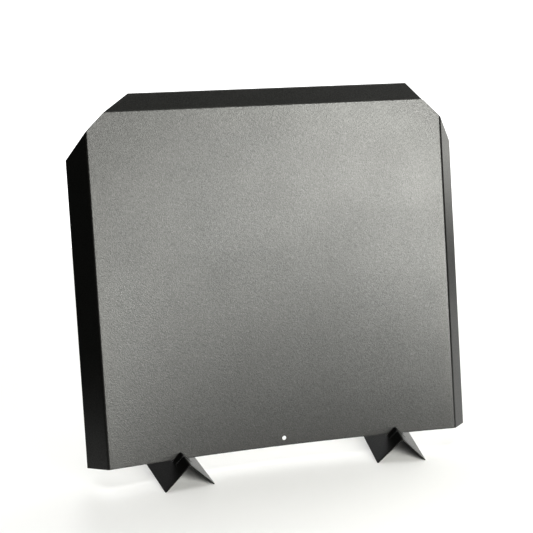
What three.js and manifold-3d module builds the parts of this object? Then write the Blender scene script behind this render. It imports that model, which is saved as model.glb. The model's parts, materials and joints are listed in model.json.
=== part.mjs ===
// A fireplace screen: one folded sheet-metal panel that stands, leaning back, in the slots of
// two loose feet bent from the same sheet. Units are millimetres, +Z is up, the panel's front
// faces -Y, and the origin is the middle of the footprint on the floor.
import * as THREE from 'three';
import { mergeVertices } from 'three/addons/utils/BufferGeometryUtils.js';
import Module from 'manifold-3d';

const wasm = await Module();
wasm.setup();

const degrees = THREE.MathUtils.degToRad;

// --- Driving dimensions ---------------------------------------------------------------------

const sheet = 1.5;                    // thickness of the sheet
const bendRadius = 1.5;               // inside radius of every fold
const bendSteps = 4;                  // facets around a fold

const panelWidth = 450;               // between the two side folds
const panelHeight = 423.5;            // bottom edge to top fold, measured up the panel
const panelLean = degrees(13.6);      // backward from upright
const panelBow = 19;                  // how far the middle of the bottom edge bows back
const panelColumns = 30;
const panelRows = 8;

const cornerAcross = 23.4;            // corner cut, along the top fold
const cornerDown = 22.4;              // corner cut, down the side fold

const lipWidth = 23.9;                // top lip, folded forward
const lipFold = degrees(37.6);
const lipEndCut = 27.6;               // how much each end of the lip tapers in

const wingWidth = 33.1;               // side wings, folded back
const wingFold = degrees(48);
const wingEndCut = 31;                // how much the top of each wing tapers down

const holeRadius = 2.75;              // the drilled hole above the middle of the bottom edge
const holeHeight = 9.5;
const holeSides = 20;

const footLeg = 44.5;                 // outside width of each leg of the bent foot
const footLength = 150;
const footNose = 38.7;                // ridge in front of the panel's front face
const slotWidth = 2.7;
const slotDepth = 9.2;                // down from the ridge, along the slot
const spareSlotWidth = 2;
const spareSlotAhead = 13.9;          // the empty slot, in front of the panel's front face
const restGap = 0.3;                  // between the panel's bottom edge and a slot's floor

const feet = [
  { name: 'left_foot', across: -134.9, turn: degrees(5.4) },
  { name: 'right_foot', across: 145.8, turn: degrees(-8) },
];

// --- Values worked out from them ------------------------------------------------------------

const outerRadius = bendRadius + sheet;
const wallHalf = panelWidth / 2 - outerRadius * Math.tan(wingFold / 2);
const wallTop = panelHeight - bendRadius * Math.tan(lipFold / 2);
const footHalf = footLeg * Math.SQRT1_2;
const ridgeHeight = footHalf - outerRadius * (Math.SQRT2 - 1);
const clearOfSheet = 60;              // reach of a cutter past the sheet that it cuts

// --- Solids ---------------------------------------------------------------------------------

function toSolid(geometry) {
  const bare = geometry.clone();
  bare.deleteAttribute('normal');
  bare.deleteAttribute('uv');
  const merged = mergeVertices(bare, 1e-4);
  return new wasm.Manifold(new wasm.Mesh({
    numProp: 3,
    vertProperties: new Float32Array(merged.attributes.position.array),
    triVerts: new Uint32Array(merged.index.array),
  }));
}

function toGeometry(solid) {
  const mesh = solid.getMesh();
  const geometry = new THREE.BufferGeometry();
  geometry.setAttribute('position', new THREE.BufferAttribute(mesh.vertProperties, 3));
  geometry.setIndex(new THREE.BufferAttribute(mesh.triVerts, 1));
  const faceted = geometry.toNonIndexed();
  faceted.computeVertexNormals();
  return faceted;
}

function outline(points) {
  return new THREE.Shape(points.map(([x, y]) => new THREE.Vector2(x, y)));
}

function extrude(shape, depth) {
  return new THREE.ExtrudeGeometry(shape, { depth, bevelEnabled: false, curveSegments: bendSteps });
}

// Sends the outline's x and y, and the direction it was extruded in, along three new axes.
function aim(geometry, alongX, alongY, alongZ, origin) {
  const matrix = new THREE.Matrix4().makeBasis(alongX, alongY, alongZ).setPosition(origin);
  return geometry.applyMatrix4(matrix);
}

const right = new THREE.Vector3(1, 0, 0);
const back = new THREE.Vector3(0, 1, 0);
const up = new THREE.Vector3(0, 0, 1);
const left = right.clone().negate();
const front = back.clone().negate();
const down = up.clone().negate();

// --- Panel, upright: x across, y through the sheet from its front face, z up from the bottom --

function bowAt(x, height) {
  return panelBow * (1 - (x / wallHalf) ** 2) * (1 - height / wallTop);
}

function makeWall() {
  const wall = new THREE.BoxGeometry(2 * wallHalf, sheet, wallTop, panelColumns, 1, panelRows);
  wall.translate(0, sheet / 2, wallTop / 2);
  const point = wall.attributes.position;
  for (let i = 0; i < point.count; i += 1) {
    point.setY(i, point.getY(i) + bowAt(point.getX(i), point.getZ(i)));
  }
  return toSolid(wall);
}

// The section of a folded edge. It leaves the wall along x, its outer face starts on y = 0,
// and it turns towards +y before it runs straight to its free edge.
function foldedEdge(angle, straight) {
  const bend = new THREE.Vector2(0, outerRadius);
  const along = new THREE.Vector2(Math.cos(angle), Math.sin(angle));
  const outerEnd = new THREE.Vector2(Math.sin(angle), -Math.cos(angle))
    .multiplyScalar(outerRadius).add(bend).addScaledVector(along, straight);
  const innerEnd = new THREE.Vector2(-along.y, along.x).multiplyScalar(sheet).add(outerEnd);
  const start = -Math.PI / 2;
  const section = new THREE.Shape();
  section.moveTo(0, 0);
  section.absarc(bend.x, bend.y, outerRadius, start, start + angle, false);
  section.lineTo(outerEnd.x, outerEnd.y);
  section.lineTo(innerEnd.x, innerEnd.y);
  section.absarc(bend.x, bend.y, bendRadius, start + angle, start, true);
  section.closePath();
  return section;
}

function makeWing(side) {
  const straight = wingWidth - outerRadius * Math.tan(wingFold / 2);
  const strip = extrude(foldedEdge(wingFold, straight), wallTop);
  if (side > 0) {
    return toSolid(strip.translate(wallHalf, 0, 0));
  }
  return toSolid(aim(strip, left, back, down, new THREE.Vector3(-wallHalf, 0, wallTop)));
}

function makeLip() {
  const straight = lipWidth - bendRadius * Math.tan(lipFold / 2);
  const strip = extrude(foldedEdge(lipFold, straight), 2 * wallHalf);
  return toSolid(aim(strip, up, front, right, new THREE.Vector3(-wallHalf, sheet, wallTop)));
}

// Everything past the corner cut and the tapered ends of the lip and the wing, on one side.
function makeCornerCutter(side) {
  const half = panelWidth / 2;
  const lipEnd = [half - cornerAcross, panelHeight];
  const lipSlope = lipEndCut / (lipWidth * Math.cos(lipFold));
  const wingEnd = [half, panelHeight - cornerDown];
  const wingSlope = wingEndCut / (wingWidth * Math.cos(wingFold));
  const reach = clearOfSheet;
  const points = [
    [lipEnd[0] - reach * lipSlope, lipEnd[1] + reach],
    lipEnd,
    wingEnd,
    [wingEnd[0] + reach, wingEnd[1] - reach * wingSlope],
    [wingEnd[0] + reach, lipEnd[1] + reach],
  ];
  const cutter = extrude(outline(points.map(([x, z]) => [side * x, z])), 2 * reach);
  return toSolid(aim(cutter, right, up, front, new THREE.Vector3(0, reach, 0)));
}

function makeHoleCutter() {
  const drill = new THREE.CylinderGeometry(holeRadius, holeRadius, 2 * clearOfSheet, holeSides);
  return toSolid(drill.translate(0, 0, holeHeight));
}

function makePanel() {
  return makeWall()
    .add(makeLip())
    .add(makeWing(-1))
    .add(makeWing(1))
    .subtract(makeCornerCutter(-1))
    .subtract(makeCornerCutter(1))
    .subtract(makeHoleCutter());
}

// --- Foot: x across, ridge along y, z up from the floor, y = 0 where the panel's front crosses --

// A slot from the ridge down, leaning back by lean, with its front wall at y = start on the ridge.
function makeSlotCutter(width, lean, start) {
  const slot = new THREE.BoxGeometry(4 * footHalf, width, slotDepth + clearOfSheet);
  slot.translate(0, width / 2, (clearOfSheet - slotDepth) / 2);
  slot.rotateX(-lean);
  return toSolid(slot.translate(0, start, ridgeHeight));
}

function makeFoot() {
  const rise = Math.PI / 4;
  const centre = footHalf - outerRadius * Math.SQRT2;
  const innerHalf = footHalf - sheet * Math.SQRT2;
  const section = new THREE.Shape();
  section.moveTo(innerHalf, 0);
  section.lineTo(footHalf, 0);
  section.absarc(0, centre, outerRadius, rise, Math.PI - rise, false);
  section.lineTo(-footHalf, 0);
  section.lineTo(-innerHalf, 0);
  section.absarc(0, centre, bendRadius, Math.PI - rise, rise, true);
  section.closePath();
  const angleStrip = extrude(section, footLength);
  const rear = new THREE.Vector3(0, footLength - footNose, 0);
  const sideGap = (slotWidth - sheet) / 2;
  return toSolid(aim(angleStrip, right, up, front, rear))
    .subtract(makeSlotCutter(slotWidth, panelLean, -sideGap / Math.cos(panelLean)))
    .subtract(makeSlotCutter(spareSlotWidth, 0, -spareSlotAhead));
}

// --- Assembly -------------------------------------------------------------------------------

function powderCoat() {
  return new THREE.MeshStandardMaterial({ color: 0x20211e, roughness: 0.55, metalness: 0 });
}

const screen = new THREE.Group();

// The bottom edge rests in the slots, so its height follows from the foot where it sits lowest.
const edgeInSlot = ridgeHeight - (slotDepth - restGap) * Math.cos(panelLean);
const edgeHeight = edgeInSlot + bowAt(feet[0].across, 0) * Math.sin(panelLean);

const panel = new THREE.Mesh(toGeometry(makePanel()), powderCoat());
panel.name = 'screen_panel';
panel.position.z = edgeHeight;
panel.rotation.x = -panelLean;
screen.add(panel);

// Where the panel's front face passes the ridge of a foot, as a distance back from y = 0.
function crossingAt(x) {
  const bow = bowAt(x, 0);
  const upPanel = (ridgeHeight - edgeHeight + bow * Math.sin(panelLean)) / Math.cos(panelLean);
  return upPanel * Math.sin(panelLean) + bowAt(x, upPanel) * Math.cos(panelLean);
}

for (const { name, across, turn } of feet) {
  const foot = new THREE.Mesh(toGeometry(makeFoot()), powderCoat());
  foot.name = name;
  foot.position.set(across, crossingAt(across), 0);
  foot.rotation.z = turn;
  screen.add(foot);
}

// The origin moves to the middle of the footprint, on the floor.
const extent = new THREE.Box3().setFromObject(screen, true);
const middle = extent.getCenter(new THREE.Vector3());
screen.position.set(-middle.x, -middle.y, -extent.min.z);

export default screen;
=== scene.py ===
"""A fireplace screen on a pale studio floor: a folded sheet-metal panel in two bent feet."""
import json
from math import atan2, cos, log2, pi, radians, sin, sqrt, tan

import bmesh
import bpy
from mathutils import Matrix, Vector


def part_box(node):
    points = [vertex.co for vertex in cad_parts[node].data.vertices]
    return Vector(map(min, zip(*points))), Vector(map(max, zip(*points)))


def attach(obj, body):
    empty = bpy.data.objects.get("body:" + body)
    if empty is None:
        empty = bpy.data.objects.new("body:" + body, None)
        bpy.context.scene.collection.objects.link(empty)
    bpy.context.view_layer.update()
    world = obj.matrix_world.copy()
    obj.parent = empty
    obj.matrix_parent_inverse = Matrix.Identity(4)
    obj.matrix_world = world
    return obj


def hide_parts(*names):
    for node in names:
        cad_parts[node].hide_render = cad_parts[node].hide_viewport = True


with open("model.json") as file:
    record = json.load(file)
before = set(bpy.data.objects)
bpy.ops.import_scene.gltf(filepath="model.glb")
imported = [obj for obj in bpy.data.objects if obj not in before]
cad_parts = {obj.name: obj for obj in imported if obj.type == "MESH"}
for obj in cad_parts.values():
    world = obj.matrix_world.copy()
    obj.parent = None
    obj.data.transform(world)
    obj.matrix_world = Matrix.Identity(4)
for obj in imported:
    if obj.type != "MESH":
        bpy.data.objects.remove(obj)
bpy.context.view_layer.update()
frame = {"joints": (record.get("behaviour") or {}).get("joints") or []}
scene = bpy.context.scene

# --- Camera -----------------------------------------------------------------------------------

CAMERA_PLACE = (-0.4112, -1.3497, 0.6772)
CAMERA_TURN = radians(16.3)           # to the right of straight back
CAMERA_TILT = radians(17.0)           # down from level
CAMERA_ROLL = radians(0.35)
CAMERA_LENS = 81.4                    # on a 36 mm frame


def add_camera():
    data = bpy.data.cameras.new("camera")
    data.lens = CAMERA_LENS
    data.sensor_width = 36
    camera = bpy.data.objects.new("camera", data)
    turn = Matrix.Rotation(-CAMERA_TURN, 4, "Z")
    tilt = Matrix.Rotation(pi / 2 - CAMERA_TILT, 4, "X")
    roll = Matrix.Rotation(CAMERA_ROLL, 4, "Z")
    camera.matrix_world = Matrix.Translation(CAMERA_PLACE) @ turn @ tilt @ roll
    scene.collection.objects.link(camera)
    scene.camera = camera


add_camera()

# --- Sizes, in metres ---------------------------------------------------------------------------

SHEET = 0.0015                        # thickness of the sheet
PANEL_BEND = 0.0055                   # outside radius of a fold
FOOT_BEND = 0.0032
CUT_EDGE = 0.0007                     # rounding of the sheet's cut edges
CUT_EDGE_STEPS = 3

WING = 0.0331                         # side wings, folded back
WING_FOLD = radians(48)
WING_END_CUT = 0.031
LIP = 0.0239                          # top lip, folded forward
LIP_FOLD = radians(37.6)
LIP_END_CUT = 0.0276
CORNER_ACROSS = 0.0234                # corner cut, along the top fold
CORNER_DOWN = 0.0224                  # corner cut, down the side fold
PANEL_BOW = 0.019                     # the middle of the bottom edge bows back
HOLE_RADIUS = 0.00275
HOLE_HEIGHT = 0.0095

FOOT_NOSE = 0.0387                    # ridge in front of the panel
SLOT_WIDTH = 0.0027
SLOT_DEPTH = 0.0092
SPARE_SLOT_WIDTH = 0.002
SPARE_SLOT_AHEAD = 0.0139
CAD_FOOT_BEND = 0.003                 # outside radius of the CAD's fold, which sets its ridge
FOOT_TURN = {"left_foot": radians(5.4), "right_foot": radians(-8)}

# The panel slides up out of the feet along its own lean.
lift = next(joint for joint in frame["joints"] if joint["name"] == "panel_lift")
LEAN = atan2(lift["axis"][1], lift["axis"][2])

panel_low, panel_high = (Vector(corner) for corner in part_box("screen_panel"))
WING_BACK = WING * sin(WING_FOLD) + SHEET * cos(WING_FOLD)
HALF = (panel_high.x - panel_low.x) / 2 - WING * cos(WING_FOLD)
PANEL_PLACE = Vector((0, panel_low.y, panel_low.z + WING_BACK * sin(LEAN)))


def panel_height():
    """Bottom edge to top fold: the rear edge of the lip's end is the panel's highest point."""
    lip_rise = LIP * cos(LIP_FOLD - LEAN) + SHEET * sin(LIP_FOLD - LEAN)
    return (panel_high.z - PANEL_PLACE.z - lip_rise) / cos(LEAN)


HEIGHT = panel_height()

# On the rear face, the outside of the lip's fold, the lip starts higher and runs further.
LIP_SHIFT = SHEET * tan(LIP_FOLD / 2)
LIP_LINE = HEIGHT + LIP_SHIFT
LIP_RUN = LIP + 2 * LIP_SHIFT

# --- Folding a sheet ----------------------------------------------------------------------------

TINY = 1e-6                           # grid lines closer than this are one line
ROUNDED_ABOVE = radians(40)           # an edge sharper than this is a cut edge
SMOOTH_BELOW = radians(35)            # shading runs on across a fold flatter than this


def spread(start, end, cells):
    return [start + (end - start) * i / cells for i in range(cells + 1)]


def merge_lines(*runs):
    """Joins runs of grid lines, in order, and drops a line that repeats its neighbour."""
    lines = sorted(line for run in runs for line in run)
    kept = lines[:1]
    for line in lines[1:]:
        if line - kept[-1] > TINY:
            kept.append(line)
    return kept


def fold_point(along, depth, angle, radius):
    """A fold at along = 0 between two straight runs, seen from its end. The outside of the fold
    is depth 0, depth grows towards the inside. Returns (forward, inward)."""
    setback = radius * tan(angle / 2)
    if along <= -setback:
        return along, depth
    turned = min(max((along + setback) / (2 * setback), 0), 1) * angle
    forward = -setback + (radius - depth) * sin(turned)
    inward = radius - (radius - depth) * cos(turned)
    past = max(along - setback, 0)
    return forward + past * cos(angle), inward + past * sin(angle)


def fold_up(blank, place):
    """Turns a flat blank into a closed sheet: place(x, y, depth) says where each point goes."""
    sheet = bmesh.new()
    front = {v: sheet.verts.new(place(v.co.x, v.co.y, 0)) for v in blank.verts}
    rear = {v: sheet.verts.new(place(v.co.x, v.co.y, SHEET)) for v in blank.verts}
    for face in blank.faces:
        sheet.faces.new([front[v] for v in face.verts])
        sheet.faces.new([rear[v] for v in reversed(face.verts)])
    for edge in blank.edges:
        if edge.is_boundary:
            a, b = edge.verts
            sheet.faces.new([front[a], front[b], rear[b], rear[a]])
    bmesh.ops.recalc_face_normals(sheet, faces=sheet.faces)
    return sheet


def round_cut_edges(sheet):
    sharp = [e for e in sheet.edges if e.calc_face_angle(0) > ROUNDED_ABOVE]
    bmesh.ops.bevel(sheet, geom=sharp, offset=CUT_EDGE, offset_type="OFFSET",
                    segments=CUT_EDGE_STEPS, profile=0.5, affect="EDGES", clamp_overlap=True)


def to_object(sheet, name, matrix):
    mesh = bpy.data.meshes.new(name)
    sheet.to_mesh(mesh)
    sheet.free()
    mesh.transform(matrix)
    mesh.polygons.foreach_set("use_smooth", [True] * len(mesh.polygons))
    mesh.set_sharp_from_angle(angle=SMOOTH_BELOW)
    piece = bpy.data.objects.new(name, mesh)
    scene.collection.objects.link(piece)
    normals = piece.modifiers.new("flat faces stay flat", "WEIGHTED_NORMAL")
    normals.keep_sharp = True
    return piece


# --- Panel --------------------------------------------------------------------------------------


def cut_height(x):
    """How far up the blank reaches at x: the cut runs off the lip, the corner and the wing."""
    x = abs(x)
    corner = HALF - CORNER_ACROSS
    if x <= corner:
        return HEIGHT + LIP_RUN * min((corner - x) / LIP_END_CUT, 1)
    if x <= HALF:
        return HEIGHT - CORNER_DOWN * (x - corner) / CORNER_ACROSS
    return HEIGHT - CORNER_DOWN - WING_END_CUT * (x - HALF) / WING


def cut_reach(y):
    """The x at which the cut across the lip and the corner passes height y."""
    corner = HALF - CORNER_ACROSS
    if y >= HEIGHT:
        return corner - LIP_END_CUT * (y - HEIGHT) / LIP_RUN
    return corner + CORNER_ACROSS * (HEIGHT - y) / CORNER_DOWN


LIP_SETBACK = PANEL_BEND * tan(LIP_FOLD / 2)
WING_SETBACK = PANEL_BEND * tan(WING_FOLD / 2)
HOLE_PATCH = 0.007                    # half the square of mesh around the hole
PATCH_CELLS = 8
FOLD_CELLS = 8
CUT_CELLS = 5                         # along each part of a corner cut
WING_CELLS = 6
FACE_COLUMNS = 24                     # on each side of the hole
FACE_ROWS = 44


def panel_lines():
    """Grid lines of the blank. Each column near a corner has a row where the cut passes it."""
    lip_fold_rows = spread(LIP_LINE - LIP_SETBACK, LIP_LINE + LIP_SETBACK, FOLD_CELLS)
    corner_columns = merge_lines(
        spread(HALF - CORNER_ACROSS - LIP_END_CUT, cut_reach(lip_fold_rows[-1]), CUT_CELLS),
        [cut_reach(row) for row in lip_fold_rows],
        spread(cut_reach(lip_fold_rows[0]), HALF - WING_SETBACK, CUT_CELLS),
        spread(HALF - WING_SETBACK, HALF + WING_SETBACK, FOLD_CELLS),
        spread(HALF + WING_SETBACK, HALF + WING, WING_CELLS),
    )
    patch_low = HOLE_HEIGHT - HOLE_PATCH
    patch_high = HOLE_HEIGHT + HOLE_PATCH
    columns = merge_lines(
        [-x for x in corner_columns],
        spread(-corner_columns[0], -HOLE_PATCH, FACE_COLUMNS),
        spread(-HOLE_PATCH, HOLE_PATCH, PATCH_CELLS),
        spread(HOLE_PATCH, corner_columns[0], FACE_COLUMNS),
        corner_columns,
    )
    rows = merge_lines(
        [0],
        spread(patch_low, patch_high, PATCH_CELLS),
        spread(patch_high, cut_height(HALF + WING), FACE_ROWS),
        [cut_height(x) for x in corner_columns],
    )
    return columns, rows


def drill_hole(blank, node, columns, rows):
    """Replaces the square of cells around the hole by a ring of cells round its rim."""
    first_column = min(range(len(columns)), key=lambda i: abs(columns[i] + HOLE_PATCH))
    first_row = min(range(len(rows)), key=lambda j: abs(rows[j] - HOLE_HEIGHT + HOLE_PATCH))
    n = PATCH_CELLS
    inside = [node[first_column + i, first_row + j] for i in range(1, n) for j in range(1, n)]
    ring = [(i, 0) for i in range(n)] + [(n, j) for j in range(n)]
    ring += [(n - i, n) for i in range(n)] + [(0, n - j) for j in range(n)]
    outer = [node[first_column + i, first_row + j] for i, j in ring]
    bmesh.ops.delete(blank, geom=inside, context="VERTS")
    rim = []
    for i in range(len(outer)):
        angle = -3 * pi / 4 + 2 * pi * i / len(outer)
        x = HOLE_RADIUS * cos(angle)
        y = HOLE_HEIGHT + HOLE_RADIUS * sin(angle)
        rim.append(blank.verts.new((x, y, 0)))
    for i in range(len(outer)):
        j = (i + 1) % len(outer)
        blank.faces.new([outer[i], outer[j], rim[j], rim[i]])


def panel_blank():
    columns, rows = panel_lines()
    blank = bmesh.new()
    node = {}
    for i, x in enumerate(columns):
        for j, y in enumerate(rows):
            if y <= cut_height(x) + TINY:
                node[i, j] = blank.verts.new((x, y, 0))
    for i in range(len(columns) - 1):
        for j in range(len(rows) - 1):
            cell = [(i, j), (i + 1, j), (i + 1, j + 1), (i, j + 1)]
            corners = [node[key] for key in cell if key in node]
            if len(corners) >= 3:
                blank.faces.new(corners)
    drill_hole(blank, node, columns, rows)
    return blank


def place_on_panel(x, y, depth):
    """Folds the lip forward and the wings back, and bows the face. Upright, front to -Y."""
    side = -1 if x < 0 else 1
    across, inward = fold_point(abs(x) - HALF, depth, WING_FOLD, PANEL_BEND)
    across = side * (across + HALF)
    flat_half = HALF - WING_SETBACK
    flat_top = LIP_LINE - LIP_SETBACK
    bow = 0
    if abs(x) < flat_half and y < flat_top:
        bow = PANEL_BOW * (1 - (x / flat_half) ** 2) * (1 - y / flat_top)
    if abs(x) > flat_half:
        return Vector((across, inward, y))
    up, forward = fold_point(y - LIP_LINE, SHEET - depth, LIP_FOLD, PANEL_BEND)
    return Vector((across, SHEET - forward + bow, up + LIP_LINE))


def add_panel():
    sheet = fold_up(panel_blank(), place_on_panel)
    round_cut_edges(sheet)
    stand = Matrix.Translation(PANEL_PLACE) @ Matrix.Rotation(-LEAN, 4, "X")
    return to_object(sheet, "folded_panel", stand)


# --- Feet ---------------------------------------------------------------------------------------

LEG_SLOPE = pi / 4
FOOT_SETBACK = FOOT_BEND * tan(LEG_SLOPE)
RIDGE_CELLS = 10
SLOT_CELLS = 3                        # from the ridge's bend down to a slot's floor
LEG_CELLS = 8
NOSE_CELLS = 4
BETWEEN_CELLS = 3                     # from one slot to the other
REAR_CELLS = 12


def foot_sizes(name):
    low, high = (Vector(corner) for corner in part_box(name))
    half = high.z - low.z + CAD_FOOT_BEND * (sqrt(2) - 1)
    turn = abs(FOOT_TURN[name])
    length = (high.y - low.y - 2 * half * sin(turn)) / cos(turn)
    return low, high, half, length


def foot_section(along, depth, half):
    """The bent strip seen from its end: the ridge is at along = 0 and a leg runs down from it to
    the floor, where it is cut level. Returns (reach, level)."""
    if along < FOOT_SETBACK:
        turned = along / FOOT_SETBACK * LEG_SLOPE
        centre = half - FOOT_BEND * sqrt(2)
        return (FOOT_BEND - depth) * sin(turned), centre + (FOOT_BEND - depth) * cos(turned)
    if along > half * sqrt(2) - TINY:
        return half - depth * sqrt(2), 0
    return (along - depth) / sqrt(2), half - (along + depth) / sqrt(2)


def add_foot(name):
    low, high, half, length = foot_sizes(name)
    leg = half * sqrt(2)
    ridge = high.z
    # The floor is level, where the leaning slot's own floor would be lowest.
    slot_floor = ridge - SLOT_DEPTH * cos(LEAN) - SLOT_WIDTH * sin(LEAN)
    slot_reach = (half - slot_floor) * sqrt(2)
    spare_reach = (half - (ridge - SLOT_DEPTH)) * sqrt(2)
    columns = merge_lines(
        spread(-leg, -slot_reach, LEG_CELLS), [-spare_reach],
        spread(-slot_reach, -FOOT_SETBACK, SLOT_CELLS),
        spread(-FOOT_SETBACK, FOOT_SETBACK, RIDGE_CELLS),
        spread(FOOT_SETBACK, slot_reach, SLOT_CELLS),
        [spare_reach], spread(slot_reach, leg, LEG_CELLS),
    )
    side_gap = (SLOT_WIDTH - SHEET) / 2
    slot_start = FOOT_NOSE - side_gap / cos(LEAN)
    slot_end = slot_start + SLOT_WIDTH / cos(LEAN)
    spare_start = FOOT_NOSE - SPARE_SLOT_AHEAD
    spare_end = spare_start + SPARE_SLOT_WIDTH
    rows = merge_lines(
        spread(0, spare_start, NOSE_CELLS), spread(spare_end, slot_start, BETWEEN_CELLS),
        spread(slot_end, length, REAR_CELLS),
    )
    leaning = (slot_start, slot_end)

    def place(x, y, depth):
        side = -1 if x < 0 else 1
        reach, level = foot_section(min(abs(x), leg), depth, half)
        back = y
        if any(abs(y - line) < TINY for line in leaning):
            back += (max(level, slot_floor) - ridge) * tan(LEAN)
        return Vector((side * reach, back - length / 2, level))

    blank = bmesh.new()
    node = {}
    for i, x in enumerate(columns):
        for j, y in enumerate(rows):
            node[i, j] = blank.verts.new((x, y, 0))

    def in_slot(x, y):
        if slot_start < y < slot_end:
            return abs(x) < slot_reach
        return spare_start < y < spare_end and abs(x) < spare_reach

    for i in range(len(columns) - 1):
        for j in range(len(rows) - 1):
            middle_x = (columns[i] + columns[i + 1]) / 2
            middle_y = (rows[j] + rows[j + 1]) / 2
            if not in_slot(middle_x, middle_y):
                cell = [(i, j), (i + 1, j), (i + 1, j + 1), (i, j + 1)]
                blank.faces.new([node[key] for key in cell])
    loose = [v for v in blank.verts if not v.link_faces]
    bmesh.ops.delete(blank, geom=loose, context="VERTS")
    sheet = fold_up(blank, place)
    round_cut_edges(sheet)
    middle = (low + high) / 2
    stand = Matrix.Translation((middle.x, middle.y, low.z))
    stand = stand @ Matrix.Rotation(FOOT_TURN[name], 4, "Z")
    return to_object(sheet, "bent_" + name, stand)


# --- Materials ----------------------------------------------------------------------------------

COAT_IOR = 1.45
GRAIN_SCALE = 700                     # noise scales: a larger one is finer
CLOUD_SCALE = 9
SMUDGE_SCALE = 14
NOISE_RANGE = (0.3, 0.7)              # the part of a noise that a ramp spreads out
GLOSS = (0.4, 0.6)                    # specular level over the grain
SMUDGE = (1.03, 0.97)                 # times that level
TONE_SPREAD = 0.2                     # of the colour, over the grain
ROUGHNESS_SPREAD = 0.02
GRAIN_DEPTH = 0.00015


def powder_coat(name, color, roughness):
    material = bpy.data.materials.new(name)
    material.use_nodes = True
    nodes = material.node_tree.nodes
    links = material.node_tree.links
    shader = nodes["Principled BSDF"]
    shader.inputs["IOR"].default_value = COAT_IOR
    place = nodes.new("ShaderNodeTexCoord")

    def noise(scale, detail):
        node = nodes.new("ShaderNodeTexNoise")
        node.inputs["Scale"].default_value = scale
        node.inputs["Detail"].default_value = detail
        links.new(place.outputs["Object"], node.inputs["Vector"])
        return node

    def ramp(source, low, high):
        node = nodes.new("ShaderNodeMapRange")
        node.inputs["From Min"].default_value = NOISE_RANGE[0]
        node.inputs["From Max"].default_value = NOISE_RANGE[1]
        node.inputs["To Min"].default_value = low
        node.inputs["To Max"].default_value = high
        links.new(source.outputs["Fac"], node.inputs["Value"])
        return node

    clouds = noise(CLOUD_SCALE, 3)
    grain = noise(GRAIN_SCALE, 2)
    tone = nodes.new("ShaderNodeMix")
    tone.data_type = "RGBA"
    tone.inputs["A"].default_value = (*[c * (1 - TONE_SPREAD) for c in color], 1)
    tone.inputs["B"].default_value = (*[c * (1 + TONE_SPREAD) for c in color], 1)
    links.new(grain.outputs["Fac"], tone.inputs["Factor"])
    links.new(tone.outputs["Result"], shader.inputs["Base Color"])
    rough = ramp(clouds, roughness - ROUGHNESS_SPREAD, roughness + ROUGHNESS_SPREAD)
    links.new(rough.outputs["Result"], shader.inputs["Roughness"])
    smudges = ramp(noise(SMUDGE_SCALE, 2), *SMUDGE)
    level = nodes.new("ShaderNodeMath")
    level.operation = "MULTIPLY"
    links.new(ramp(grain, *GLOSS).outputs["Result"], level.inputs[0])
    links.new(smudges.outputs["Result"], level.inputs[1])
    links.new(level.outputs["Value"], shader.inputs["Specular IOR Level"])
    bump = nodes.new("ShaderNodeBump")
    bump.inputs["Strength"].default_value = 1.0
    bump.inputs["Distance"].default_value = GRAIN_DEPTH
    links.new(grain.outputs["Fac"], bump.inputs["Height"])
    links.new(bump.outputs["Normal"], shader.inputs["Normal"])
    return material


panel_coat = powder_coat("panel_powder_coat", (0.003, 0.0031, 0.0026), 0.31)
foot_coat = powder_coat("foot_powder_coat", (0.0022, 0.0023, 0.002), 0.3)

panel = add_panel()
panel.data.materials.append(panel_coat)
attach(panel, "panel")
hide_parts("screen_panel")

feet = []
for foot_name in FOOT_TURN:
    foot = add_foot(foot_name)
    foot.data.materials.append(foot_coat)
    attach(foot, foot_name)
    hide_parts(foot_name)
    feet.append(foot)

# --- Floor and light ----------------------------------------------------------------------------

FLOOR_ACROSS = (-0.6, 1.0)
FLOOR_DEEP = (-2.2, 1.0)
FLOOR_COLOR = (0.8, 0.8, 0.8, 1)
FLOOR_ROUGHNESS = 0.9

# How bright the studio around is. The coat mirrors a dark front and a paler back.
FRONT_LIGHT = 0.01
BACK_LIGHT = 0.25
BACK_FULL = 0.5                       # how far back a direction points when the back light is full
BACKDROP = 1.1                        # as the camera sees it

WARM_WHITE = (1, 1, 0.95)
WHITE = (1, 1, 1)
MIDDLE = (0, 0, 0.2)                  # where the softboxes point
BOX_DISTANCE = 2.6


def add_floor():
    mesh = bpy.data.meshes.new("floor")
    left, right = FLOOR_ACROSS
    front, back = FLOOR_DEEP
    mesh.from_pydata([(left, front, 0), (right, front, 0), (right, back, 0), (left, back, 0)],
                     [], [(0, 1, 2, 3)])
    floor = bpy.data.objects.new("floor", mesh)
    scene.collection.objects.link(floor)
    material = bpy.data.materials.new("floor")
    material.use_nodes = True
    shader = material.node_tree.nodes["Principled BSDF"]
    shader.inputs["Base Color"].default_value = FLOOR_COLOR
    shader.inputs["Roughness"].default_value = FLOOR_ROUGHNESS
    mesh.materials.append(material)


def add_softbox(name, azimuth, elevation, width, height, power, color):
    """A rectangular light in front of MIDDLE, turned right by azimuth and up by elevation."""
    azimuth, elevation = radians(azimuth), radians(elevation)
    data = bpy.data.lights.new(name, "AREA")
    data.shape = "RECTANGLE"
    data.size = width
    data.size_y = height
    data.energy = power
    data.color = color
    away = Vector((sin(azimuth) * cos(elevation), -cos(azimuth) * cos(elevation), sin(elevation)))
    light = bpy.data.objects.new(name, data)
    light.location = Vector(MIDDLE) + away * BOX_DISTANCE
    light.rotation_euler = away.to_track_quat("Z", "Y").to_euler()
    scene.collection.objects.link(light)
    return light


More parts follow.
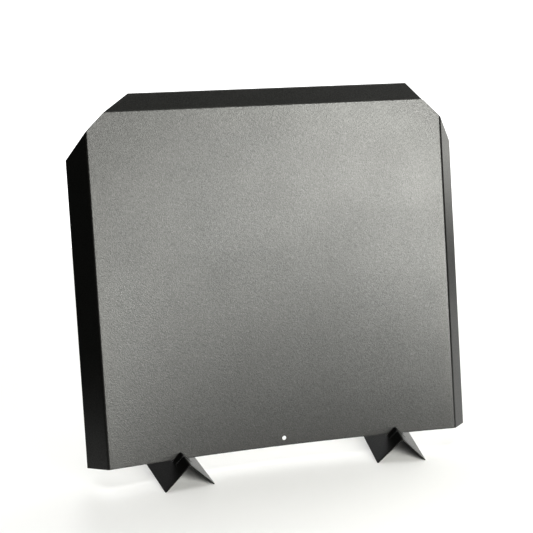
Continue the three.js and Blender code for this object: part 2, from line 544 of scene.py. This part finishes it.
def add_world():
    world = bpy.data.worlds.new("studio")
    scene.world = world
    world.use_nodes = True
    nodes = world.node_tree.nodes
    links = world.node_tree.links
    nodes.clear()
    place = nodes.new("ShaderNodeTexCoord")
    axes = nodes.new("ShaderNodeSeparateXYZ")
    links.new(place.outputs["Generated"], axes.inputs["Vector"])
    back = nodes.new("ShaderNodeMapRange")
    back.interpolation_type = "SMOOTHSTEP"
    back.inputs["From Min"].default_value = 0.0
    back.inputs["From Max"].default_value = BACK_FULL
    back.inputs["To Min"].default_value = FRONT_LIGHT
    back.inputs["To Max"].default_value = BACK_LIGHT
    links.new(axes.outputs["Y"], back.inputs["Value"])
    path = nodes.new("ShaderNodeLightPath")
    mix = nodes.new("ShaderNodeMix")
    links.new(path.outputs["Is Camera Ray"], mix.inputs["Factor"])
    links.new(back.outputs["Result"], mix.inputs["A"])
    mix.inputs["B"].default_value = BACKDROP
    background = nodes.new("ShaderNodeBackground")
    links.new(mix.outputs["Result"], background.inputs["Strength"])
    background.inputs["Color"].default_value = (1, 1, 1, 1)
    output = nodes.new("ShaderNodeOutputWorld")
    links.new(background.outputs["Background"], output.inputs["Surface"])


add_floor()
add_world()

key = add_softbox("key", azimuth=28, elevation=13.5, width=1.15, height=1.4, power=66,
                  color=WARM_WHITE)
core = add_softbox("core", azimuth=24, elevation=12, width=0.6, height=0.5, power=11,
                   color=WARM_WHITE)
fill = add_softbox("fill", azimuth=2, elevation=15.5, width=0.75, height=1.4, power=33,
                   color=WARM_WHITE)
add_softbox("side", azimuth=125, elevation=15, width=1.9, height=2.1, power=20, color=WARM_WHITE)
add_softbox("back", azimuth=174, elevation=23, width=1.1, height=1.9, power=26, color=WHITE)
add_softbox("top", azimuth=180, elevation=82, width=3.0, height=2.0, power=30, color=WHITE)

# The panel doesn't throw the front lights' shadow, so the floor beside it stays pale.
blockers = bpy.data.collections.new("blockers")
for foot in feet:
    blockers.objects.link(foot)
for light in (key, core, fill):
    light.light_linking.blocker_collection = blockers

CONTRAST = 1.2                        # around a middle grey of 0.18
MIDDLE_GREY = 0.18
view = scene.view_settings
view.view_transform = "Standard"
view.gamma = 1 / CONTRAST
view.exposure = log2(MIDDLE_GREY ** ((1 - CONTRAST) / CONTRAST))
